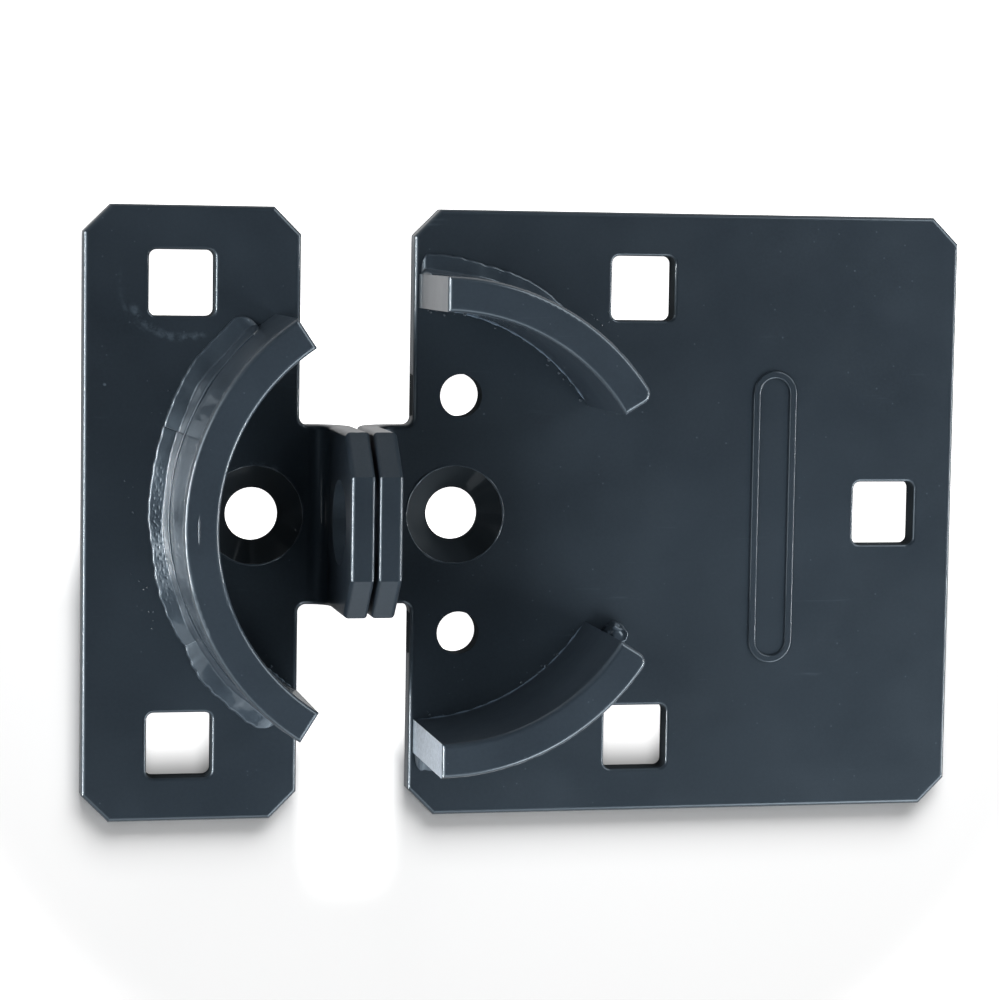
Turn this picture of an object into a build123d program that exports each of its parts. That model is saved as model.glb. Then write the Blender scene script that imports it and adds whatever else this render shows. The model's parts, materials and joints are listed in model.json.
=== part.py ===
from build123d import *
import os

# Two-leaf hasp for a round hidden-shackle padlock. Millimetres, back faces on z = 0,
# +X from the narrow leaf to the wide one, +Y up the door edge, +Z out of the door.
# The origin is the centre of the closed hasp's footprint.

# Two points closer than this are the same one
TOLERANCE = 0.01

# Leaves
LEAF_T = 4.76
LEAF_H = 125.0
NARROW_X0 = -92.0
NARROW_X1 = -48.1
WIDE_X0 = -24.9
WIDE_X1 = 92.0
CORNER_CUT = 5.5
FRONT_ROUND = 1.0

# Bent ears, face to face over the gap between the leaves
EAR_PLANE_X = -37.3
EAR_GAP = 0.8
EAR_W = 36.8
EAR_TOP_Z = 36.1
EAR_CUT = 8.2
EAR_ROUND = 0.8
BEND_R = 4.0
ROOT_R = 1.6
TAB_IN = 6.0
SHACKLE_R = 8.5
SHACKLE_Z = 21.2

# Carriage-bolt squares
SQUARE = 13.3
SQUARE_R = 1.5
SQUARE_ROUND = 0.7
NARROW_SQUARE_X = -72.2
WIDE_SQUARE_X = 23.4
SQUARE_Y = 46.9
EDGE_SQUARE_X = 76.8

# Round screw holes
CSK_R = 5.4
CSK_TOP_R = 10.1
CSK_WALL = 0.8
NARROW_CSK_X = -57.4
WIDE_CSK_X = -15.8
PLAIN_R = 4.4
PLAIN_X = -14.8
PLAIN_Y = 24.5

# Blank stadium panel stamped up from the wide leaf
PANEL_X = 52.3
PANEL_Y = -0.8
PANEL_L = 61.5
PANEL_W = 9.4
PANEL_LINE = 1.5
PANEL_H = 0.45
PANEL_ROUND = 0.35

# Curved guards: one centre for the wide leaf's pair, one for the narrow leaf's
GUARD_R = 42.4
GUARD_T = 6.9
GUARD_H = 31.75
GUARD_X = -23.9
NARROW_GUARD_X = -25.7
GUARD_NEAR = 90.0
GUARD_FAR = 31.9
NARROW_GUARD_TOP = 56.0
NARROW_GUARD_BOTTOM = 57.8
TOP_ROUND = 1.0
FAR_ROUND = 2.2

# Fillet welds along the guards' outer sides: start, end and mean leg of each pass
NARROW_PASSES = (
    ("narrow_weld_top", 129.0, 160.0, 4.6),
    ("narrow_weld_middle", 160.4, 210.0, 3.8),
    ("narrow_weld_bottom", 210.4, 237.4, 4.5),
)
UPPER_PASS = (50.0, 89.6, 4.1)
LOWER_PASS = (-89.6, -31.9, 4.1)
WELD_RISE = 1.5
WELD_BULGE = 0.56
LUMP_X = 46.6
LUMP_W = 4.8
LUMP_L = 2.4
LUMP_H = 4.6
LUMP_ROUND = 1.4


def chamfered_plate(x0, x1):
    """Flat leaf blank with all four corners cut at 45 degrees."""
    blank = Rectangle(x1 - x0, LEAF_H)
    blank = chamfer(blank.vertices(), CORNER_CUT)
    return Pos((x0 + x1) / 2, 0, 0) * extrude(blank, LEAF_T)


def bent_tab(side):
    """Tab out of a leaf's gap edge, bent square into an ear. Side is -1 narrow, 1 wide."""
    face_x = EAR_PLANE_X + side * EAR_GAP / 2
    back_x = face_x + side * LEAF_T
    bend_x = back_x + side * BEND_R
    edge_x = NARROW_X1 if side < 0 else WIDE_X0
    root_x = edge_x + side * TAB_IN
    bend_z = LEAF_T + BEND_R
    outer_r = LEAF_T + BEND_R
    with BuildPart() as tab:
        with BuildSketch(Plane.XZ.offset(-EAR_W / 2)):
            with BuildLine():
                a = Line((root_x, 0), (bend_x, 0))
                b = RadiusArc(a @ 1, (face_x, bend_z), side * outer_r)
                c = Line(b @ 1, (face_x, EAR_TOP_Z))
                d = Line(c @ 1, (back_x, EAR_TOP_Z))
                e = Line(d @ 1, (back_x, bend_z))
                f = RadiusArc(e @ 1, (bend_x, LEAF_T), -side * BEND_R)
                g = Line(f @ 1, (root_x, LEAF_T))
                Line(g @ 1, a @ 0)
            make_face()
        extrude(amount=EAR_W)
    return tab.part


def ear_corner_cuts():
    """Two prisms that take the top corners off both ears."""
    reach = 4 * EAR_CUT
    cuts = []
    for turn in (-1, 1):
        corner = Pos(EAR_PLANE_X, turn * EAR_W / 2, EAR_TOP_Z)
        bar = Rot(45, 0, 0) * Box(reach, EAR_CUT * 2**0.5, EAR_CUT * 2**0.5)
        cuts.append(corner * bar)
    return cuts


def shackle_bore():
    """Cylinder of the shackle hole, through both ears."""
    length = 6 * LEAF_T
    return Pos(EAR_PLANE_X, 0, SHACKLE_Z) * Rot(0, 90, 0) * Cylinder(SHACKLE_R, length)


def square_hole(leaf, x, y):
    """The leaf with one carriage-bolt square punched in it, its front edge rolled over."""
    outline = RectangleRounded(SQUARE, SQUARE, SQUARE_R)
    leaf = leaf - Pos(x, y, -LEAF_T) * extrude(outline, 3 * LEAF_T)
    edges = leaf.edges().filter_by_position(Axis.Z, LEAF_T - TOLERANCE, LEAF_T + TOLERANCE)
    edges = edges.filter_by(lambda e: (e.center() - Vector(x, y, LEAF_T)).length < SQUARE * 0.75)
    return fillet(edges, SQUARE_ROUND)


def countersunk_hole(x):
    """Cutter for a countersunk screw hole at mid height."""
    through = Pos(x, 0, LEAF_T / 2) * Cylinder(CSK_R, 2 * LEAF_T)
    depth = LEAF_T - CSK_WALL
    cone = Pos(x, 0, CSK_WALL + depth / 2) * Cone(CSK_R, CSK_TOP_R, depth)
    return through + cone


def plain_hole(x, y):
    """Cutter for a straight round hole."""
    return Pos(x, y, LEAF_T / 2) * Cylinder(PLAIN_R, 2 * LEAF_T)


def round_roots(leaf, edge_x):
    """Small punch radii where the tab leaves the plate."""
    roots = leaf.edges().filter_by(Axis.Z)
    roots = roots.filter_by(lambda e: abs(e.center().X - edge_x) < TOLERANCE)
    roots = roots.filter_by(lambda e: abs(abs(e.center().Y) - EAR_W / 2) < TOLERANCE)
    return fillet(roots, ROOT_R)


def front_skin(leaf, side):
    """The leaf's front: the plate's face, the inside of the bend and the ear's inner side."""
    back_x = EAR_PLANE_X + side * (EAR_GAP / 2 + LEAF_T)
    skin = []
    for face in leaf.faces():
        centre = face.center()
        flat = face.geom_type == GeomType.PLANE
        if flat and abs(centre.Z - LEAF_T) < TOLERANCE:
            skin.append(face)
        elif flat and abs(centre.X - back_x) < TOLERANCE and centre.Z > LEAF_T:
            skin.append(face)
        elif face.geom_type == GeomType.CYLINDER and abs(face.radius - BEND_R) < TOLERANCE:
            skin.append(face)
    return skin


def skin_rim(skin):
    """Edges round the outside of a connected set of faces."""
    rim = []
    for face in skin:
        shared = [edge for other in skin if other is not face for edge in other.edges()]
        for edge in face.outer_wire().edges():
            middle = edge.center()
            if all((middle - other.center()).length > TOLERANCE for other in shared):
                rim.append(edge)
    return rim


def leaf_body(x0, x1, side):
    """A leaf with its ear, its front edge rolled over all round, before the holes."""
    edge_x = x1 if side < 0 else x0
    leaf = chamfered_plate(x0, x1) + bent_tab(side)
    leaf = round_roots(leaf, edge_x)
    for cut in ear_corner_cuts():
        leaf -= cut
    return fillet(skin_rim(front_skin(leaf, side)), FRONT_ROUND)


def round_ear_face(leaf, side):
    """Eased edges of the ear on the side that meets the other ear."""
    face_x = EAR_PLANE_X + side * EAR_GAP / 2
    edges = leaf.edges().filter_by(GeomType.LINE)
    edges = edges.filter_by(lambda e: abs(e.center().X - face_x) < TOLERANCE)
    edges = edges.filter_by(lambda e: e.center().Z > LEAF_T + BEND_R + TOLERANCE)
    return fillet(edges, EAR_ROUND)


def narrow_leaf():
    """Narrow leaf: ear, two squares and one countersunk hole."""
    leaf = leaf_body(NARROW_X0, NARROW_X1, -1)
    leaf = round_ear_face(leaf, -1)
    for y in (-SQUARE_Y, SQUARE_Y):
        leaf = square_hole(leaf, NARROW_SQUARE_X, y)
    leaf -= countersunk_hole(NARROW_CSK_X)
    leaf -= shackle_bore()
    return leaf


def stamped_panel():
    """Raised outline of a blank upright stadium, its top edges soft."""
    inside = SlotOverall(PANEL_L - 2 * PANEL_LINE, PANEL_W - 2 * PANEL_LINE, 90)
    line = SlotOverall(PANEL_L, PANEL_W, 90) - inside
    ridge = extrude(line, PANEL_H + LEAF_T / 2)
    ridge = fillet(ridge.faces().sort_by(Axis.Z)[-1].edges(), PANEL_ROUND)
    return Pos(PANEL_X, PANEL_Y, LEAF_T / 2) * ridge


def wide_leaf():
    """Wide leaf: ear, panel, three squares, one countersunk hole and two plain holes."""
    leaf = leaf_body(WIDE_X0, WIDE_X1, 1)
    leaf = round_ear_face(leaf, 1)
    leaf += stamped_panel()
    for x, y in ((WIDE_SQUARE_X, -SQUARE_Y), (WIDE_SQUARE_X, SQUARE_Y), (EDGE_SQUARE_X, 0)):
        leaf = square_hole(leaf, x, y)
    leaf -= countersunk_hole(WIDE_CSK_X)
    for y in (-PLAIN_Y, PLAIN_Y):
        leaf -= plain_hole(PLAIN_X, y)
    leaf -= shackle_bore()
    return leaf


def ring_sector(inner, outer, start, end, height):
    """Upright curved bar about the origin, between two angles in degrees."""
    with BuildPart() as bar:
        with BuildSketch():
            with BuildLine():
                a = CenterArc((0, 0), inner, start, end - start)
                b = CenterArc((0, 0), outer, start, end - start)
                Line(a @ 0, b @ 0)
                Line(a @ 1, b @ 1)
            make_face()
        extrude(amount=height)
    return bar.part


def guard(start, end, rounded):
    """Curved guard bar, top edges eased. When rounded, its last corner is rounded in plan."""
    outer = GUARD_R + GUARD_T
    bar = ring_sector(GUARD_R, outer, start, end, GUARD_H)
    if rounded:
        corner = Vector(outer, 0, GUARD_H / 2).rotate(Axis.Z, end)
        upright = bar.edges().filter_by(Axis.Z)
        bar = fillet(upright.sort_by_distance(corner)[0], FAR_ROUND)
    return fillet(bar.faces().sort_by(Axis.Z)[-1].edges(), TOP_ROUND)


def fillet_pass(start, end, leg):
    """One weld pass in the corner between a guard's outer side and the leaf."""
    inner = GUARD_R + GUARD_T
    rise = leg * WELD_RISE
    with BuildPart() as bead:
        with BuildSketch(Plane.XZ):
            with BuildLine():
                a = Line((inner, rise), (inner, 0))
                b = Line(a @ 1, (inner + leg, 0))
                ThreePointArc(b @ 1, (inner + leg * WELD_BULGE, rise * WELD_BULGE), a @ 0)
            make_face()
        revolve(axis=Axis.Z, revolution_arc=end - start)
    return bead.part.rotate(Axis.Z, start)


def end_lump():
    """Weld that wraps the far end of the lower guard."""
    lump = Box(LUMP_W, LUMP_L, LUMP_H, align=(Align.MIN, Align.MIN, Align.MIN))
    away = lump.faces().sort_by(Axis.Y)[-1]
    open_edges = away.edges().filter_by(lambda e: e.center().Z > TOLERANCE)
    lump = Pos(LUMP_X, 0, 0) * fillet(open_edges, LUMP_ROUND)
    return lump.rotate(Axis.Z, -GUARD_FAR)


def on_leaf(shape, x):
    """Stand a shape made about the origin on a leaf's front face at x."""
    return Pos(x, 0, LEAF_T) * shape


def main():
    os.makedirs("parts", exist_ok=True)
    lower_guard = guard(-GUARD_NEAR, -GUARD_FAR, True)
    nodes = {
        "narrow_leaf": narrow_leaf(),
        "wide_leaf": wide_leaf(),
        "narrow_guard": on_leaf(
            guard(180 - NARROW_GUARD_TOP, 180 + NARROW_GUARD_BOTTOM, False), NARROW_GUARD_X
        ),
        "upper_guard": on_leaf(mirror(lower_guard, about=Plane.XZ), GUARD_X),
        "lower_guard": on_leaf(lower_guard, GUARD_X),
        "upper_weld": on_leaf(fillet_pass(*UPPER_PASS), GUARD_X),
        "lower_weld": on_leaf(fillet_pass(*LOWER_PASS), GUARD_X),
        "lower_end_weld": on_leaf(end_lump(), GUARD_X),
    }
    for name, start, end, leg in NARROW_PASSES:
        nodes[name] = on_leaf(fillet_pass(start, end, leg), NARROW_GUARD_X)
    for name, shape in nodes.items():
        shape.label = name
        export_step(shape, f"parts/{name}.step")


main()
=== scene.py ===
import json
import math

import bmesh
import bpy
import numpy as np
from mathutils import Matrix, Vector


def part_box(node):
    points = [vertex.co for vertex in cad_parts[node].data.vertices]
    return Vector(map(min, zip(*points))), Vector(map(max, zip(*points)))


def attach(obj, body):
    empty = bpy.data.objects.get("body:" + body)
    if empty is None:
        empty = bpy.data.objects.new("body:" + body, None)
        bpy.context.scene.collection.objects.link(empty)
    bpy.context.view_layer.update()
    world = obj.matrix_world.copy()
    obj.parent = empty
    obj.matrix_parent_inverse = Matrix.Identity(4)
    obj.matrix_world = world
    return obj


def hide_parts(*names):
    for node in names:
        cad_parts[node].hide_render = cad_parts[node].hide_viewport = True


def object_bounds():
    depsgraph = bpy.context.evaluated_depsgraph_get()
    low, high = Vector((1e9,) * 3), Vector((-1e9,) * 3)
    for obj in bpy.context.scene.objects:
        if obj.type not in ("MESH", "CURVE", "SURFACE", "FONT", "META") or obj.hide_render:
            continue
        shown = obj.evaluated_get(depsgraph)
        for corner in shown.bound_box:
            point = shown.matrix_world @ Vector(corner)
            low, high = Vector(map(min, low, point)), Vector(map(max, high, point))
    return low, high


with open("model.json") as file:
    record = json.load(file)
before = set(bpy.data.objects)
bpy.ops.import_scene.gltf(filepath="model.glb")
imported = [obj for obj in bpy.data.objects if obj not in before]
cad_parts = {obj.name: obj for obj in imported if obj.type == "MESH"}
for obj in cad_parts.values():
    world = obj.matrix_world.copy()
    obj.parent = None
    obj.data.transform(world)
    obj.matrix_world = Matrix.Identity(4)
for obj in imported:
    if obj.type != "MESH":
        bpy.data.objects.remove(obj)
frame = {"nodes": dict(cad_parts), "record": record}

CAD_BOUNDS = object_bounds()
RECORD = frame["record"]
NODES = frame["nodes"]
MOUNTS = {m["name"]: Vector(m["pos_m"]) for m in RECORD["mounts"]}
BODY_OF = {n: b for b, names in RECORD["behaviour"]["bodies"].items() for n in names}
MM = 0.001


# ---------------------------------------------------------------- measures of the CAD part

def points_of(node):
    """A CAD node's vertices as an array, in metres."""
    return np.array([v.co for v in NODES[node].data.vertices], float).reshape(-1, 3)


PLATE_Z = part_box("upper_guard")[0].z
WIDE_CENTRE_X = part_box("upper_guard")[0].x
OUTER_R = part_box("upper_guard")[1].y
NARROW_CENTRE_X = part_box("narrow_guard")[0].x + OUTER_R


def polar(node, centre_x):
    """Angles and radii of a node's vertices about a guard's centre."""
    co = points_of(node)
    x, y = co[:, 0] - centre_x, co[:, 1]
    middle = math.atan2(y.mean(), x.mean())
    angle = (np.arctan2(y, x) - middle + math.pi) % (2 * math.pi) - math.pi + middle
    return angle, np.hypot(x, y)


INNER_R = float(polar("narrow_guard", NARROW_CENTRE_X)[1].min())
GUARD_TOP_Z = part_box("narrow_guard")[1].z


# ---------------------------------------------------------------- small numeric helpers

def waves(seed, low, high, count=7):
    """A smooth random function of one variable, about -1 to 1, with wavelengths low to high."""
    rng = np.random.default_rng(seed)
    k = 2 * math.pi / rng.uniform(low, high, count)
    phase = rng.uniform(0, 2 * math.pi, count)
    weight = rng.uniform(0.5, 1.0, count)
    weight /= weight.sum()

    def value(s):
        return sum(w * np.sin(a * s + p) for a, p, w in zip(k, phase, weight)) * 1.8

    return value


def waves2(seed, low, high, count=14):
    """A smooth random function of two variables, about -1 to 1."""
    rng = np.random.default_rng(seed)
    k = 2 * math.pi / rng.uniform(low, high, count)
    turn = rng.uniform(0, math.pi, count)
    phase = rng.uniform(0, 2 * math.pi, count)

    def value(s, t):
        total = 0
        for a, b, p in zip(k, turn, phase):
            total = total + np.sin(a * (np.cos(b) * s + np.sin(b) * t) + p)
        return total / count * 2.4

    return value


def ease(x):
    """0 to 1 with a soft start and end."""
    x = np.clip(x, 0, 1)
    return x**2 * (3 - 2 * x)


def grid_mesh(name, rings, caps=True):
    """A tube from rings of points (rings x around x 3), smooth along its sides and flat at its caps."""
    n, m = rings.shape[:2]
    verts = rings.reshape(-1, 3)
    i, j = np.meshgrid(np.arange(n - 1), np.arange(m), indexing="ij")
    k = (j + 1) % m
    faces = np.stack([i * m + j, i * m + k, (i + 1) * m + k, (i + 1) * m + j], -1)
    faces = [tuple(f) for f in faces.reshape(-1, 4).tolist()]
    if caps:
        faces.append(tuple(range(m - 1, -1, -1)))
        faces.append(tuple(range((n - 1) * m, n * m)))
    mesh = bpy.data.meshes.new(name)
    mesh.from_pydata(verts.tolist(), [], faces)
    sides = (n - 1) * m
    mesh.polygons.foreach_set("use_smooth", [True] * sides + [False] * (len(faces) - sides))
    mesh.update()
    return new_object(name, mesh)


def new_object(name, data):
    """An object of that name in the scene."""
    obj = bpy.data.objects.new(name, data)
    bpy.context.scene.collection.objects.link(obj)
    return obj


def solid(obj):
    """Faces turned outward."""
    bm = bmesh.new()
    bm.from_mesh(obj.data)
    bmesh.ops.recalc_face_normals(bm, faces=bm.faces)
    bm.to_mesh(obj.data)
    bm.free()
    return obj


# ---------------------------------------------------------------- materials

class Tree:
    """Shorthand for building a node tree."""

    def __init__(self, material):
        material.use_nodes = True
        self.tree = material.node_tree
        self.tree.nodes.clear()

    def add(self, kind, inputs=None, **props):
        node = self.tree.nodes.new(kind)
        for key, value in props.items():
            setattr(node, key, value)
        for key, value in (inputs or {}).items():
            socket = node.inputs[key]
            if isinstance(value, bpy.types.NodeSocket):
                self.tree.links.new(value, socket)
            else:
                socket.default_value = value
        return node

    def math(self, op, a, b=0.0, clamp=False):
        node = self.add("ShaderNodeMath", {0: a, 1: b}, operation=op, use_clamp=clamp)
        return node.outputs[0]

    def noise(self, where, scale, detail=3.0, rough=0.55):
        inputs = {"Vector": where, "Scale": scale, "Detail": detail, "Roughness": rough}
        return self.add("ShaderNodeTexNoise", inputs).outputs["Fac"]

    def remap(self, value, lo, hi, to_lo=0.0, to_hi=1.0, smooth=False):
        kind = "SMOOTHSTEP" if smooth else "LINEAR"
        inputs = {0: value, 1: lo, 2: hi, 3: to_lo, 4: to_hi}
        return self.add("ShaderNodeMapRange", inputs, interpolation_type=kind).outputs[0]

    def mix(self, fac, a, b):
        node = self.add("ShaderNodeMix", data_type="RGBA")
        for index, value in ((0, fac), (6, a), (7, b)):
            if isinstance(value, bpy.types.NodeSocket):
                self.tree.links.new(value, node.inputs[index])
            else:
                node.inputs[index].default_value = value
        return node.outputs[2]

    def vector(self, op, a, b=None):
        inputs = {0: a} if b is None else {0: a, 1: b}
        return self.add("ShaderNodeVectorMath", inputs, operation=op)

    def axis(self, vector, index):
        return self.add("ShaderNodeSeparateXYZ", {0: vector}).outputs[index]

    def stretch(self, where, scale, turn=0.0):
        node = self.add("ShaderNodeMapping", {"Vector": where, "Scale": scale, "Rotation": (0, 0, turn)})
        return node.outputs[0]


DUST = (0.13, 0.16, 0.19, 1.0)
RUBBED = (0.10, 0.125, 0.15, 1.0)
# Pale tone of the painted highlight on the lower guard's end face.
END_HIGHLIGHT_TONE = (0.62, 0.68, 0.76, 1.0)
COOL_SHINE = (0.72, 0.88, 1.0, 1.0)
HOLE_REACH = 11.0 * MM
SINK_REACH = 12.5 * MM


def grey_blue(level):
    """Paint colour at a level: the same blue-black hue, lighter or darker."""
    return (0.64 * level, 0.82 * level, 1.04 * level, 1.0)


def specks(t, where, scale, share, size, seed):
    """Mask of scattered small dots: about that share of the cells hold one."""
    shift = (seed * 0.37, seed * 0.11, seed * 0.23)
    moved = t.vector("ADD", where, shift).outputs[0]
    cells = t.add("ShaderNodeTexVoronoi", {"Vector": moved, "Scale": scale, "Randomness": 1.0})
    near = t.remap(cells.outputs["Distance"], size * 0.55, size, 1.0, 0.0)
    pick = t.add("ShaderNodeSeparateColor", {0: cells.outputs["Color"]}).outputs[0]
    return t.math("MULTIPLY", near, t.math("LESS_THAN", pick, share))


def arc_mask(t, where, centre, radius, width, heading, spread):
    """Soft arc about a point on the plate, in metres, on the side it heads for."""
    gap = t.vector("SUBTRACT", where, tuple(centre)).outputs[0]
    far = t.vector("LENGTH", gap).outputs["Value"]
    off = t.math("ABSOLUTE", t.math("SUBTRACT", far, radius))
    ring = t.remap(off, 0.0, width, 1.0, 0.0, smooth=True)
    turn = (math.cos(math.radians(heading)), math.sin(math.radians(heading)), 0.0)
    unit = t.vector("NORMALIZE", gap).outputs[0]
    side = t.vector("DOT_PRODUCT", unit, turn).outputs["Value"]
    limit = math.cos(math.radians(spread))
    return t.math("MULTIPLY", ring, t.remap(side, limit, limit + 0.15, smooth=True))


def wall_mask(t, where, centres, reach, steep):
    """1 on the walls of holes about those centres that are steeper than that, 0 elsewhere."""
    normal = t.add("ShaderNodeNewGeometry").outputs["True Normal"]
    upright = t.math("ABSOLUTE", t.axis(normal, 2))
    upright = t.math("LESS_THAN", upright, steep)
    near = None
    for centre in centres:
        gap = t.vector("DISTANCE", where, tuple(centre)).outputs["Value"]
        inside = t.math("LESS_THAN", gap, reach)
        near = inside if near is None else t.math("MAXIMUM", near, inside)
    return t.math("MULTIPLY", upright, near)


def paint(name, seed, level=0.034, rough=0.40, peel=0.10, dust=1.0, gloss=0.5, haze=0.09,
          marks=(), holes=(), sinks=(), painted_end_highlight=False):
    """Satin powder coat: cloudy tone, orange peel, dust, fine rubs, and marks where asked.

    Marks are arcs (centre, radius, width, heading, spread, strength). The walls of the holes and
    the cones of the sinks are darker: painted shade. A painted end highlight lightens the faces
    turned to -X.
    """
    material = bpy.data.materials.new(name)
    t = Tree(material)
    where = t.add("ShaderNodeTexCoord").outputs["Object"]
    cloud = t.noise(where, 22.0 + seed, 4.0, 0.6)
    colour = t.mix(t.remap(cloud, 0.3, 0.7), grey_blue(level * 0.86), grey_blue(level * 1.14))
    grain = t.noise(where, 1500.0, 2.0, 0.7)
    colour = t.mix(t.remap(grain, 0.35, 0.7, 0.0, 0.25), colour, grey_blue(level * 1.6))

    dots = specks(t, where, 420.0, 0.010 * dust, 0.16, seed)
    fine = specks(t, where, 1100.0, 0.022 * dust, 0.24, seed + 5)
    dirt = t.math("MAXIMUM", dots, t.math("MULTIPLY", fine, 0.6))
    colour = t.mix(t.math("MULTIPLY", dirt, 0.45), colour, DUST)

    rub = t.noise(t.stretch(where, (60.0, 900.0, 60.0), 0.5 + seed), 1.0, 3.0, 0.6)
    patch = t.remap(t.noise(where, 40.0, 2.0), 0.5, 0.65)
    wear = t.math("MULTIPLY", t.math("MULTIPLY", t.remap(rub, 0.66, 0.74), patch), 0.2)
    for centre, radius, width, heading, spread, strength in marks:
        broken = t.remap(t.noise(where, 420.0, 5.0, 0.7), 0.46, 0.62)
        arc = arc_mask(t, where, centre, radius, width, heading, spread)
        wear = t.math("MAXIMUM", wear, t.math("MULTIPLY", t.math("MULTIPLY", arc, broken), strength))
    colour = t.mix(wear, colour, RUBBED)

    rougher = t.remap(t.noise(where, 60.0, 4.0, 0.6), 0.3, 0.7, rough - 0.04, rough + 0.05)
    rougher = t.math("ADD", rougher, t.math("MULTIPLY", t.math("MAXIMUM", wear, dirt), 0.22), clamp=True)
    # Painted shade: the hole walls and the sink cones are painted near black and made rougher, and the
    # walls lose their coat, to stand for the shade inside these recesses.
    if holes:
        walls = wall_mask(t, where, holes, HOLE_REACH, 0.35)
        cones = wall_mask(t, where, sinks, SINK_REACH, 0.92)
        colour = t.mix(cones, colour, grey_blue(level * 0.15))
        rougher = t.math("MAXIMUM", rougher, t.math("MULTIPLY", cones, 0.80))
        colour = t.mix(walls, colour, grey_blue(level * 0.12))
        rougher = t.math("MAXIMUM", rougher, t.math("MULTIPLY", walls, 0.95))
        gloss = t.remap(walls, 0.0, 1.0, gloss, 0.0)

    # Painted highlight: faces turned to -X (the lower guard's end face) are painted pale with a mottle, as
    # a bright highlight on that end.
    if painted_end_highlight:
        normal = t.add("ShaderNodeTexCoord").outputs["Normal"]
        west = t.math("MULTIPLY", t.axis(normal, 0), -1.0)
        mottle = t.remap(t.noise(where, 1400.0, 3.0, 0.7), 0.35, 0.65, 0.65, 1.0)
        pale = t.math("MULTIPLY", t.remap(west, 0.90, 0.98), mottle)
        colour = t.mix(pale, colour, END_HIGHLIGHT_TONE)

    peel_height = t.noise(where, 620.0, 2.0, 0.5)
    micro = t.noise(where, 2600.0, 2.0, 0.5)
    height = t.math("ADD", t.math("MULTIPLY", peel_height, 0.75), t.math("MULTIPLY", micro, 0.18))
    height = t.math("ADD", height, t.math("MULTIPLY", dirt, 0.9))
    bump = t.add("ShaderNodeBump", {"Height": height, "Strength": peel * 4.0, "Distance": 0.00006})

    shader = t.add("ShaderNodeBsdfPrincipled", {
        "Base Color": colour,
        "Roughness": rougher,
        "Metallic": 0.0,
        "IOR": 1.5,
        "Specular Tint": COOL_SHINE,
        "Coat Weight": gloss,
        "Coat Roughness": haze,
        "Normal": bump.outputs[0],
    })
    t.add("ShaderNodeOutputMaterial", {"Surface": shader.outputs[0]})
    return material


def dress(obj, material):
    """Gives a piece its one material."""
    obj.data.materials.clear()
    obj.data.materials.append(material)
    return obj


# ---------------------------------------------------------------- weld beads

BEAD_STEP = 0.16 * MM
BEAD_AROUND = 48
BLEND = 9 * MM
NOTCH_W = 0.7 * MM
KNEE = 0.24
LIP = 0.8 * MM
LIP_AT = 0.93
TOE_AT = 0.90
BURIED = 0.35 * MM


def leg_of(node, centre_x):
    """How far a CAD weld reaches out over the leaf."""
    return float(polar(node, centre_x)[1].max()) - OUTER_R


def rise_of(node):
    """How high a CAD weld climbs from the leaf."""
    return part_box(node)[1].z - PLATE_Z


def in_place_of(node, rings):
    """A tube that stands in for a CAD weld node and rides on its body."""
    obj = solid(grid_mesh(node + "_bead", rings))
    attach(obj, BODY_OF[node])
    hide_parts(node)
    return obj


def bead_ends(node, centre_x, s, length, rounding, meets, notch):
    """Leg, rise and taper along a bead. An end rounds off, or blends halfway to the pass it meets."""
    leg, rise, taper = leg_of(node, centre_x), rise_of(node), 1.0
    leg_s, rise_s = leg, rise
    for end, distance in enumerate((s, length - s)):
        if meets[end]:
            share = ease(1 - distance / BLEND)
            leg_s = leg_s + share * 0.5 * (leg_of(meets[end], centre_x) - leg)
            rise_s = rise_s + share * 0.5 * (rise_of(meets[end]) - rise)
            leg_s = leg_s * (1 - notch[end] * np.exp(-((distance / NOTCH_W) ** 2)))
        else:
            near = np.clip(distance / (rounding[end] * MM), 0, 1)
            taper = taper * np.sqrt(np.clip(1 - (1 - near) ** 2, 0, 1))
    return leg_s, rise_s, taper


def bead_profile(u, run, rise_s, shelf, seed):
    """Height over the leaf across a bead: steep by the guard, then a slope to a rounded toe."""
    shelf_h = shelf * MM * (1 + 0.12 * waves(seed + 1, 7 * MM, 20 * MM)(run))
    knee = KNEE + 0.05 * waves(seed + 6, 12 * MM, 26 * MM)(run)
    slope = shelf_h + (LIP - shelf_h) * np.clip((u - knee) / (LIP_AT - knee), 0, 1)
    steep = (rise_s - shelf_h) * np.exp(-((u / knee * 1.35) ** 4))
    toe = np.sqrt(np.clip(1 - np.clip((u - TOE_AT) / (1 - TOE_AT), 0, 1) ** 2, 0, 1))
    return (slope + steep) * toe


def bead_bumps(u, run, leg, along, swell, pits, seed):
    """Swells and pits on a bead's surface, fading at its two long edges. Along is 0 to 1."""
    bump = swell * MM * waves2(seed + 4, 5 * MM, 13 * MM)(run, u * leg)
    bump = bump + 0.2 * swell * MM * waves2(seed + 5, 1.4 * MM, 3.2 * MM)(run, u * leg)
    if pits:
        belt = np.clip(np.sin(math.pi * along) * 1.6 - 0.5, 0, 1)
        small = waves2(seed + 7, 0.55 * MM, 1.1 * MM)(run, u * leg)
        bump = bump - pits * MM * belt * np.clip(small - 0.25, 0, 1)
    return bump * np.sin(math.pi * np.clip(u, 0.02, 0.98)) ** 0.6


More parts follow.
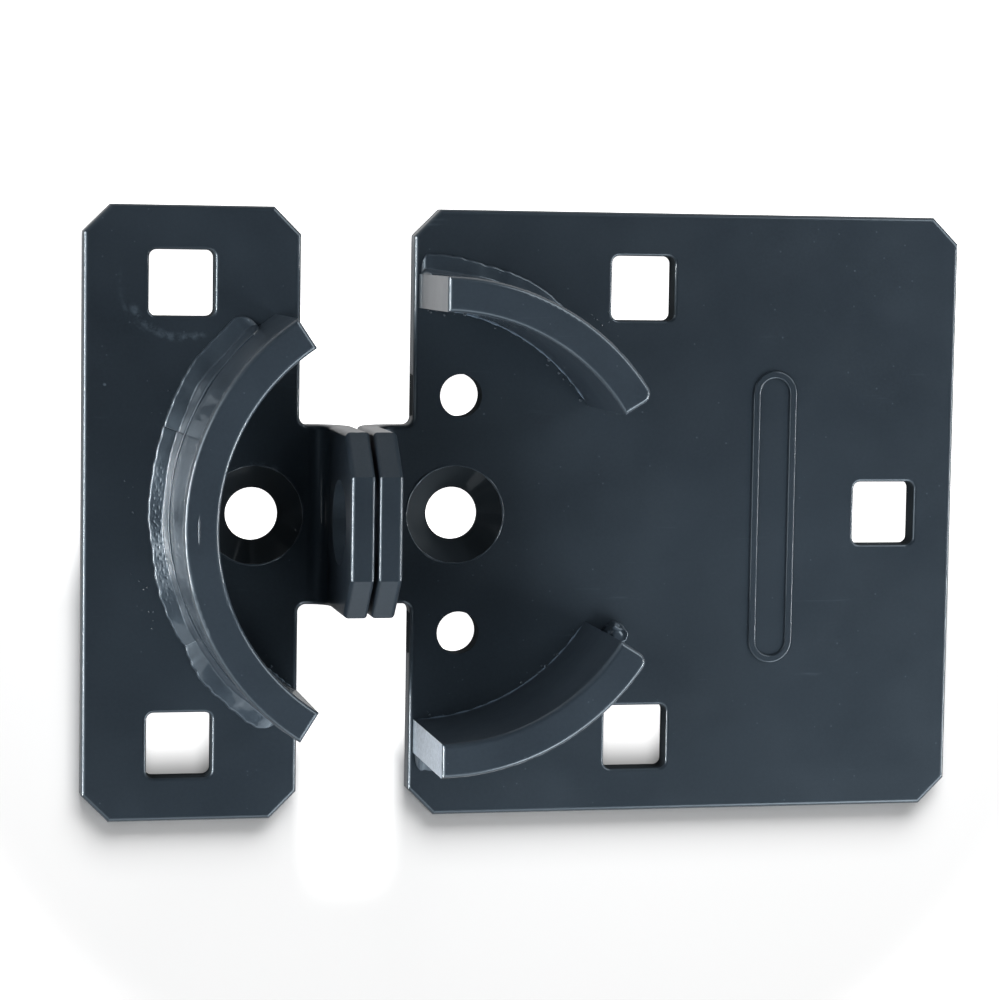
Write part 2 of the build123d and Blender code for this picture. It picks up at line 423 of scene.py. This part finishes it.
def weld_bead(node, centre_x, seed, shelf=1.8, scallop=0.16, pits=0.0, swell=0.07,
              over=(0.0, 0.0), rounding=(2.0, 2.0), meets=(None, None), notch=(0.0, 0.0)):
    """A hand-laid fillet bead under thick paint, in place of a CAD weld node.

    It runs from the node's first angle to its last, plus over at each end in degrees. Shelf is the
    height in mm where the slope starts. Scallop, pits and swell are depths in mm. An end rounds off
    over so many mm, or meets the pass named there, with a notch as a share of the leg.
    """
    angle = polar(node, centre_x)[0]
    leg = leg_of(node, centre_x)
    a0 = float(angle.min()) - math.radians(over[0])
    a1 = float(angle.max()) + math.radians(over[1])
    length = (a1 - a0) * (OUTER_R + leg / 2)
    n = max(60, int(length / BEAD_STEP))
    s = np.linspace(0, length, n)[:, None]
    u = np.linspace(0, 1, BEAD_AROUND)[None, :]
    theta = a0 + (a1 - a0) * s / length
    run = theta * OUTER_R

    leg_s, rise_s, taper = bead_ends(node, centre_x, s, length, rounding, meets, notch)
    leg_s = leg_s * (1.0 + 0.07 * waves(seed, 9 * MM, 24 * MM)(run))
    leg_s = leg_s + scallop * MM * waves(seed + 2, 1.8 * MM, 4.5 * MM)(run)
    up = bead_profile(u, run, rise_s, shelf, seed)
    up = up + bead_bumps(u, run, leg, s / length, swell, pits, seed)
    up = np.maximum(taper * up, -0.1 * MM)
    out = taper * leg_s * u + (1 - taper) * 0.1 * MM

    low = np.full((n, 1), -BURIED)
    r = OUTER_R + np.concatenate([low, out, out[:, -1:], low], 1)
    z = PLATE_Z + np.concatenate([up[:, :1], up, low, low], 1)
    rings = np.stack([centre_x + r * np.cos(theta), r * np.sin(theta), z], -1)
    return in_place_of(node, rings)


DOME_R = 1.05
DOME_L = 1.45
DOME_H = 0.9
DOME_SHIFT = 0.3


def end_bead(node, seed):
    """The lump of weld that wraps a guard's end: a bulging, rippled dome on the CAD lump's place.

    Its size is in shares of the CAD lump's own half width, half length and height.
    """
    co = points_of(node)
    middle = co.mean(0)
    away = Vector((middle[0] - WIDE_CENTRE_X, middle[1], 0)).normalized()
    along = Vector((-away.y, away.x, 0))
    half_r = float(np.abs((co - middle) @ np.array(away)).max())
    half_l = float(np.abs((co - middle) @ np.array(along)).max())
    v = np.linspace(0.02, math.pi / 2, 64)[:, None]
    w = np.linspace(0, 2 * math.pi, 48, endpoint=False)[None, :]
    lump = 1 + 0.13 * waves2(seed, 0.9, 2.2)(np.cos(w) * np.sin(v) * 2, np.sin(w) * np.sin(v) * 2)
    r = np.sin(v) ** 0.5 * lump
    x = half_r * DOME_R * r * np.cos(w)
    y = half_l * DOME_L * r * np.sin(w)
    z = rise_of(node) * DOME_H * np.cos(v) ** 0.6 * lump
    foot = Vector((middle[0], middle[1], PLATE_Z)) - along * half_l * DOME_SHIFT
    rings = np.stack([
        foot.x + away.x * x + along.x * y,
        foot.y + away.y * x + along.y * y,
        PLATE_Z - 0.2 * MM + z,
    ], -1)
    return in_place_of(node, rings)


# ---------------------------------------------------------------- seams, spatter and rims

SEAM_STEP = 0.25 * MM
SEAM_END = 1.5 * MM
FOOT_Z = PLATE_Z + 0.05 * MM
RIM_SIZE = 0.16 * MM
ON_FACE = 0.01 * MM
SINK_LIMIT = 14 * MM


def seam(name, centre_x, a0, a1, body, seed, thick, radius, height, side):
    """A thin irregular line of paint or weld flash along an arc at that radius and height.

    Thick is in mm. Side moves the line inward (-1) or leaves it on the radius (0).
    """
    length = (a1 - a0) * radius
    s = np.linspace(0, length, int(length / SEAM_STEP))[:, None]
    w = np.linspace(0, 2 * math.pi, 10, endpoint=False)[None, :]
    theta = a0 + (a1 - a0) * s / length
    size = thick * MM * np.clip(0.9 + 0.55 * waves(seed, 1.5 * MM, 6 * MM)(s), 0.25, 2.0)
    size = size * np.clip(np.minimum(s, length - s) / SEAM_END, 0.05, 1)
    r = radius + size * (0.35 * side + np.cos(w) * (1 + 0.15 * np.sin(7 * s / MM)))
    z = height + size * (0.35 + np.sin(w))
    rings = np.stack([centre_x + r * np.cos(theta), r * np.sin(theta), z + 0 * theta], -1)
    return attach(solid(grid_mesh(name, rings)), body)


def arc_of(node, centre_x):
    """The angles at which a guard starts and ends, about its centre."""
    angle = polar(node, centre_x)[0]
    return float(angle.min()), float(angle.max())


def foot_spots(node, centre_x, count, seed, spread=0.8):
    """Random spatter (x, y, z, size) along a guard's inner foot."""
    a0, a1 = arc_of(node, centre_x)
    rng = np.random.default_rng(seed)
    spots = []
    for _ in range(count):
        a = rng.uniform(a0 + 0.03, a1 - 0.03)
        r = INNER_R - abs(rng.normal(0, spread)) * MM - 0.1 * MM
        spots.append((centre_x + r * math.cos(a), r * math.sin(a), FOOT_Z, rng.uniform(0.10, 0.34) * MM))
    return spots


def toe_spots(centre_x, a0, a1, count, seed):
    """Random spatter (x, y, z, size) beyond a bead's toe, between two angles in degrees."""
    rng = np.random.default_rng(seed)
    spots = []
    for _ in range(count):
        a = math.radians(rng.uniform(a0, a1))
        r = OUTER_R + rng.uniform(5.5, 9.0) * MM
        spots.append((centre_x + r * math.cos(a), r * math.sin(a), FOOT_Z, rng.uniform(0.08, 0.22) * MM))
    return spots


def spatter(name, body, spots, seed):
    """Beads of weld spatter under the paint, each a squashed, uneven ball."""
    rng = np.random.default_rng(seed)
    verts, faces = [], []
    rows, around = 7, 12
    for x, y, z, size in spots:
        wobble = 1 + rng.uniform(-0.12, 0.12, (rows, around))
        base = len(verts)
        squash = rng.uniform(0.5, 0.8)
        turn = rng.uniform(0.8, 1.25)
        for i in range(rows):
            v = 0.05 + (math.pi - 0.1) * i / (rows - 1)
            for j in range(around):
                w = 2 * math.pi * j / around
                k = size * wobble[i, j]
                out = k * math.sin(v)
                point = (x + turn * out * math.cos(w), y + out * math.sin(w), z + squash * k * math.cos(v))
                verts.append(point)
        for i in range(rows - 1):
            for j in range(around):
                k = (j + 1) % around
                here = base + i * around
                below = here + around
                faces.append((here + j, below + j, below + k, here + k))
        faces.append(tuple(base + j for j in range(around)))
        faces.append(tuple(base + (rows - 1) * around + j for j in range(around - 1, -1, -1)))
    mesh = bpy.data.meshes.new(name)
    mesh.from_pydata(verts, [], faces)
    mesh.polygons.foreach_set("use_smooth", [True] * len(mesh.polygons))
    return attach(solid(new_object(name, mesh)), body)


def sink_rim(name, mount, node):
    """The raised lip round a countersink where the drill turned the steel up."""
    centre = MOUNTS[mount]
    co = points_of(node)
    on_top = co[np.abs(co[:, 2] - PLATE_Z) < ON_FACE]
    gap = np.hypot(on_top[:, 0] - centre.x, on_top[:, 1] - centre.y)
    radius = float(gap[gap < SINK_LIMIT].min())
    w = np.linspace(0, 2 * math.pi, 160)[:, None]
    q = np.linspace(0, 2 * math.pi, 12, endpoint=False)[None, :]
    size = RIM_SIZE * (1 + 0.3 * np.sin(3 * w + 0.6) + 0.25 * np.sin(11 * w) + 0.2 * np.sin(23 * w + 1))
    r = radius + 0.05 * MM + size * np.cos(q)
    z = PLATE_Z - 0.02 * MM + size * 0.8 * np.sin(q)
    rings = np.stack([centre.x + r * np.cos(w), centre.y + r * np.sin(w), z + 0 * w], -1)
    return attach(solid(grid_mesh(name, rings, caps=False)), BODY_OF[node])


# ---------------------------------------------------------------- dressing the part

def on_plate(mount):
    """A mount's place, lifted to the leaves' front faces."""
    point = MOUNTS[mount].copy()
    point.z = PLATE_Z
    return point


def through(side):
    """Centres of a leaf's straight-walled holes, at the mounts' own height."""
    names = [n for n in MOUNTS if n.startswith(side + "_square")]
    points = [MOUNTS[n].copy() for n in names]
    if side == "wide":
        pitch = next(m["dims"]["spacing_y_mm"] for m in RECORD["mounts"] if m["name"] == "wide_plain_holes")
        for turn in (-0.5, 0.5):
            points.append(MOUNTS["wide_plain_holes"] + Vector((0, turn * pitch * MM, 0)))
    return points


wide_marks = (
    (on_plate("wide_screw_hole"), 8.9 * MM, 1.1 * MM, 42, 16, 0.35),
    (on_plate("wide_screw_hole"), 8.9 * MM, 1.1 * MM, -50, 18, 0.40),
)
narrow_marks = (
    (on_plate("narrow_square_top"), 11.0 * MM, 1.3 * MM, 250, 50, 0.55),
    (on_plate("narrow_square_top"), 12.6 * MM, 0.8 * MM, 200, 40, 0.20),
    (on_plate("narrow_screw_hole"), 10.3 * MM, 1.0 * MM, 85, 45, 0.55),
    (on_plate("narrow_screw_hole"), 9.6 * MM, 1.2 * MM, 262, 14, 0.85),
)
wide_paint = paint("wide_leaf_paint", 3, marks=wide_marks, holes=through("wide"),
                   sinks=[MOUNTS["wide_screw_hole"]])
narrow_paint = paint("narrow_leaf_paint", 7, marks=narrow_marks, holes=through("narrow"),
                     sinks=[MOUNTS["narrow_screw_hole"]])
# Painted light: the guards' and the welds' paint is the leaves' coat set lighter (level 0.043 and 0.052
# against 0.034), so they show brighter than the leaves.
on_guards = dict(level=0.043, rough=0.40, peel=0.09, gloss=0.65, haze=0.06)
guard_paint = paint("guard_paint", 11, **on_guards)
# The lower guard's copy carries the painted highlight on its end face.
lower_guard_end_highlight_paint = paint("lower_guard_end_highlight_paint", 11, painted_end_highlight=True, **on_guards)
on_welds = dict(peel=0.12, dust=1.4, gloss=0.7, haze=0.07)
weld_paint = paint("weld_paint", 17, level=0.052, rough=0.36, **on_welds)
# Painted highlight: the seams along the guards' inner feet are painted pale, far lighter than the coat, to
# draw a bright line along each joint.
seam_highlight_paint = paint("seam_highlight_paint", 19, level=0.20, rough=0.34, **on_welds)

for node, material in (
    ("wide_leaf", wide_paint),
    ("narrow_leaf", narrow_paint),
    ("narrow_guard", guard_paint),
    ("upper_guard", guard_paint),
    ("lower_guard", lower_guard_end_highlight_paint),
):
    dress(NODES[node], material)

TOP, MIDDLE, BOTTOM = "narrow_weld_top", "narrow_weld_middle", "narrow_weld_bottom"
beads = [
    weld_bead(TOP, NARROW_CENTRE_X, 21, scallop=0.05, swell=0.05, over=(0.0, 0.2),
              rounding=(3.0, 0.0), meets=(None, MIDDLE)),
    weld_bead(MIDDLE, NARROW_CENTRE_X, 21, scallop=0.10, pits=0.10, swell=0.04,
              over=(0.2, 0.2), meets=(TOP, BOTTOM), notch=(0.0, 0.12)),
    weld_bead(BOTTOM, NARROW_CENTRE_X, 21, scallop=0.12, swell=0.05,
              over=(0.2, 0.6), rounding=(0.0, 5.0), meets=(MIDDLE, None), notch=(0.12, 0.0)),
    weld_bead("upper_weld", WIDE_CENTRE_X, 24, shelf=1.3, scallop=0.10, swell=0.02, rounding=(12.0, 1.2)),
    weld_bead("lower_weld", WIDE_CENTRE_X, 25, scallop=0.14, rounding=(1.6, 1.2)),
    end_bead("lower_end_weld", 26),
]
for bead in beads:
    dress(bead, weld_paint)

# How far the seams stop short of the guards' ends, and the edge lines short of the seams, in radians.
SEAM_SHORT = 0.02
LINE_SHORT = 0.04
LINE_Z = GUARD_TOP_Z - 1.15 * MM
seams = []
for label, node, centre_x, seed in (
    ("narrow", "narrow_guard", NARROW_CENTRE_X, 31),
    ("upper", "upper_guard", WIDE_CENTRE_X, 32),
    ("lower", "lower_guard", WIDE_CENTRE_X, 33),
):
    a0, a1 = arc_of(node, centre_x)
    a0, a1 = a0 + SEAM_SHORT, a1 - SEAM_SHORT
    body = BODY_OF[node]
    seams.append(seam(label + "_seam", centre_x, a0, a1, body, seed, 0.14, INNER_R, PLATE_Z, -1))
    a0, a1 = a0 + LINE_SHORT, a1 - LINE_SHORT
    seams.append(seam(label + "_edge_line", centre_x, a0, a1, body, seed + 5, 0.09, OUTER_R, LINE_Z, 0))
streak = math.radians(4.5)
seams.append(seam("narrow_paint_run", NARROW_CENTRE_X, math.pi - streak, math.pi + streak, "narrow_side",
                  38, 0.2, OUTER_R - 2.9 * MM, GUARD_TOP_Z - 0.1 * MM, 0))

narrow_spots = foot_spots("narrow_guard", NARROW_CENTRE_X, 10, 41)
narrow_spots += toe_spots(NARROW_CENTRE_X, 150, 215, 16, 42)
wide_spots = foot_spots("upper_guard", WIDE_CENTRE_X, 16, 44)
wide_spots += foot_spots("lower_guard", WIDE_CENTRE_X, 12, 45)
wide_spots += toe_spots(WIDE_CENTRE_X, 36, 50, 10, 46)
details = [
    spatter("narrow_spatter", "narrow_side", narrow_spots, 43),
    spatter("wide_spatter", "wide_side", wide_spots, 47),
    sink_rim("wide_sink_rim", "wide_screw_hole", "wide_leaf"),
    sink_rim("narrow_sink_rim", "narrow_screw_hole", "narrow_leaf"),
]
# Seams take the pale paint of the painted highlight; the other details take the weld paint.
for detail in details + seams:
    dress(detail, seam_highlight_paint if detail.name.endswith("_seam") else weld_paint)


# ---------------------------------------------------------------- camera

CAMERA_AT = (-0.14005, 0.05769, 0.62952)
CAMERA_AIM = (-0.00632, 0.00299, 0.00476)
CAMERA_ROLL = 0.911
CAMERA_LENS = 111.9


def look(obj, target, up=Vector((0, 1, 0)), roll=0.0):
    """Turns a camera or light to face a point, with its top towards up."""
    forward = (Vector(target) - obj.location).normalized()
    right = forward.cross(up).normalized()
    top = right.cross(forward)
    turn = Matrix((right, top, -forward)).transposed()
    obj.rotation_mode = "QUATERNION"
    obj.rotation_quaternion = (turn @ Matrix.Rotation(roll, 3, "Z")).to_quaternion()


def place_camera():
    data = bpy.data.cameras.new("camera")
    camera = new_object("camera", data)
    camera.location = CAMERA_AT
    data.lens = CAMERA_LENS
    data.clip_start = 0.01
    look(camera, CAMERA_AIM, roll=math.radians(CAMERA_ROLL))
    bpy.context.scene.camera = camera


place_camera()


# ---------------------------------------------------------------- floor

FLOOR_HALF = 6
FLOOR_Z = -0.0002
FLOOR_IN_GLOSS = 0.62
SHADE = 0.65
SOUTH_Y = CAD_BOUNDS[0].y
HALF_X = CAD_BOUNDS[1].x


def gap_edges():
    """Where the gap between the leaves starts and ends in x, at their lower corners."""
    narrow, wide = points_of("narrow_leaf"), points_of("wide_leaf")
    lowest = SOUTH_Y + 12 * MM
    return float(narrow[narrow[:, 1] < lowest, 0].max()), float(wide[wide[:, 1] < lowest, 0].min())


GAP_X0, GAP_X1 = gap_edges()


def painted_floor_glow(t, where):
    """Painted light: the floor glows white to the camera everywhere but close round the part's lower half,
    so shadows show only there.
    """
    across, along = t.axis(where, 0), t.axis(where, 1)
    under = t.remap(along, SOUTH_Y + 8 * MM, SOUTH_Y + 22 * MM, smooth=True)
    under = t.math("MULTIPLY", under, t.math("LESS_THAN", t.math("ABSOLUTE", across), HALF_X))
    upper = t.remap(along, -20 * MM, 8 * MM, smooth=True)
    half_gap = (GAP_X1 - GAP_X0) / 2
    off_gap = t.math("ABSOLUTE", t.math("SUBTRACT", across, (GAP_X0 + GAP_X1) / 2))
    between = t.remap(off_gap, half_gap - 9 * MM, half_gap + 1 * MM, 1.0, 0.0, smooth=True)
    between = t.math("MULTIPLY", between, t.remap(along, SOUTH_Y - 22 * MM, SOUTH_Y + 6 * MM, smooth=True))
    away = t.vector("LENGTH", where).outputs["Value"]
    far = t.remap(away, 1.33 * HALF_X, 1.85 * HALF_X, smooth=True)
    return t.math("MAXIMUM", t.math("MAXIMUM", under, upper), t.math("MAXIMUM", between, far))


def shade_under(t, leaf, x0, x1):
    """The floor darkens towards the lower edge under a leaf, between its cut corners, and moves with it."""
    spot = t.add("ShaderNodeTexCoord", object=NODES[leaf]).outputs["Object"]
    x, y = t.axis(spot, 0), t.axis(spot, 1)
    off = t.math("ABSOLUTE", t.math("SUBTRACT", x, (x0 + x1) / 2))
    inside = t.math("LESS_THAN", off, (x1 - x0) / 2)
    inside = t.math("MULTIPLY", inside, t.math("GREATER_THAN", y, SOUTH_Y + 1 * MM))
    dark = t.remap(y, SOUTH_Y + 7 * MM, SOUTH_Y + 19 * MM, SHADE, 0.0, smooth=True)
    return t.math("MULTIPLY", inside, dark)


def floor_paint():
    """White, dimmer in reflections than to the camera, with a painted glow and a painted shadow under the
    leaves.
    """
    material = bpy.data.materials.new("floor_white")
    t = Tree(material)
    where = t.add("ShaderNodeTexCoord").outputs["Object"]
    first_hit = t.add("ShaderNodeLightPath").outputs["Is Camera Ray"]
    tone = t.remap(t.noise(where, 3.0), 0.3, 0.7, 0.94, 0.96)
    tone = t.math("MULTIPLY", tone, t.remap(first_hit, 0.0, 1.0, FLOOR_IN_GLOSS, 1.0))
    # Painted shadow: the floor's colour darkens under the leaves towards their lower edges.
    clear = 8 * MM
    narrow_shade = shade_under(t, "narrow_leaf", clear - HALF_X, GAP_X0 - clear)
    wide_shade = shade_under(t, "wide_leaf", GAP_X1 + clear, HALF_X - clear)
    shade = t.math("SUBTRACT", 1.0, t.math("MAXIMUM", narrow_shade, wide_shade))
    shader = t.add("ShaderNodeBsdfPrincipled", {
        "Base Color": t.mix(t.math("MULTIPLY", tone, shade), (0, 0, 0, 1), (1, 1, 1, 1)),
        "Roughness": 0.9,
        "IOR": 1.2,
        "Emission Color": (1.0, 1.0, 1.0, 1.0),
        # Painted light: the floor's glow, seen by the camera only.
        "Emission Strength": t.math("MULTIPLY", painted_floor_glow(t, where), first_hit),
    })
    t.add("ShaderNodeOutputMaterial", {"Surface": shader.outputs[0]})
    return material


def lay_floor():
    corners = [(x * FLOOR_HALF, y * FLOOR_HALF, 0) for x, y in ((-1, -1), (1, -1), (1, 1), (-1, 1))]
    mesh = bpy.data.meshes.new("floor")
    mesh.from_pydata(corners, [], [(0, 1, 2, 3)])
    mesh.materials.append(floor_paint())
    floor = new_object("floor", mesh)
    floor.location.z = FLOOR_Z
    return floor


floor = lay_floor()


# ---------------------------------------------------------------- light

WHITE = (1.0, 1.0, 1.0)
COOL = (0.86, 0.94, 1.0)
HORIZON = 0.55
HORIZON_TOP = 0.22


def surround():
    """White to the camera, and otherwise a cool glow near the horizon that fades upwards."""
    world = bpy.data.worlds.new("studio")
    bpy.context.scene.world = world
    t = Tree(world)
    height = t.axis(t.add("ShaderNodeTexCoord").outputs["Generated"], 2)
    level = t.remap(height, 0.0, HORIZON_TOP, HORIZON, 0.0, smooth=True)
    seen = t.add("ShaderNodeLightPath").outputs["Is Camera Ray"]
    tinted = t.mix(level, (0.0, 0.0, 0.0, 1.0), (0.85, 0.93, 1.0, 1.0))
    shown = t.mix(seen, tinted, (1.0, 1.0, 1.0, 1.0))
    background = t.add("ShaderNodeBackground", {"Color": shown, "Strength": 1.0})
    t.add("ShaderNodeOutputWorld", {"Surface": background.outputs[0]})


def group_of(name, objects):
    """A collection of objects that a light falls on, or that stand in its way."""
    group = bpy.data.collections.new(name)
    for obj in objects:
        group.objects.link(obj)
    return group


def panel(name, at, size, watts, group, tint=WHITE, blockers=None, up=(0, 0, 1)):
    """A rectangular light facing the part, in metres and watts, that falls on one group only."""
    data = bpy.data.lights.new(name, "AREA")
    data.shape = "RECTANGLE"
    data.size, data.size_y = size
    data.energy = watts
    data.color = tint
    light = new_object(name, data)
    light.location = at
    look(light, (0, 0, 0), up=up)
    light.light_linking.receiver_collection = group
    if blockers:
        light.light_linking.blocker_collection = blockers
    return light


surround()
hardware = group_of("hardware", [o for o in bpy.data.objects if o.type == "MESH" and o is not floor])
ground = group_of("ground", [floor])
leaves = group_of("leaves", [NODES["narrow_leaf"], NODES["wide_leaf"]])

for name, at, size, watts in (
    ("south", (0.10, -1.05, 0.42), (1.5, 0.6), 2.4),
    ("south_near", (0.05, -0.50, 0.30), (0.6, 0.3), 0.9),
    ("southeast", (0.40, -0.38, 0.30), (0.5, 0.3), 3.3),
    ("northeast", (0.42, 0.36, 0.30), (0.5, 0.3), 2.5),
    ("southwest", (-0.60, -0.60, 0.60), (0.8, 0.5), 2.0),
    ("west", (-0.85, 0.0, 0.60), (0.8, 0.4), 5.0),
    ("west_low", (-0.90, 0.0, 0.35), (1.2, 0.3), 3.4),
):
    panel(name, at, size, watts, hardware, COOL)

# Two thin strips that show in the gloss only and draw the bright edges.
for name, at, watts in (
    ("west_strip", (-0.95, -0.05, 0.20), 14.0),
    ("east_strip", (0.95, -0.20, 0.25), 7.0),
):
    strip = panel(name, at, (0.6, 0.05), watts, hardware)
    strip.visible_diffuse = False

panel("floor_top", (0, 0, 1.6), (2.0, 2.0), 14.0, ground, blockers=leaves, up=(0, 1, 0))
panel("floor_north", (0.15, 0.97, 0.77), (1.0, 0.80), 21.5, ground, blockers=leaves)

scene = bpy.context.scene
scene.view_settings.view_transform = "Standard"
scene.view_settings.look = "None"
scene.view_settings.exposure = 0.0
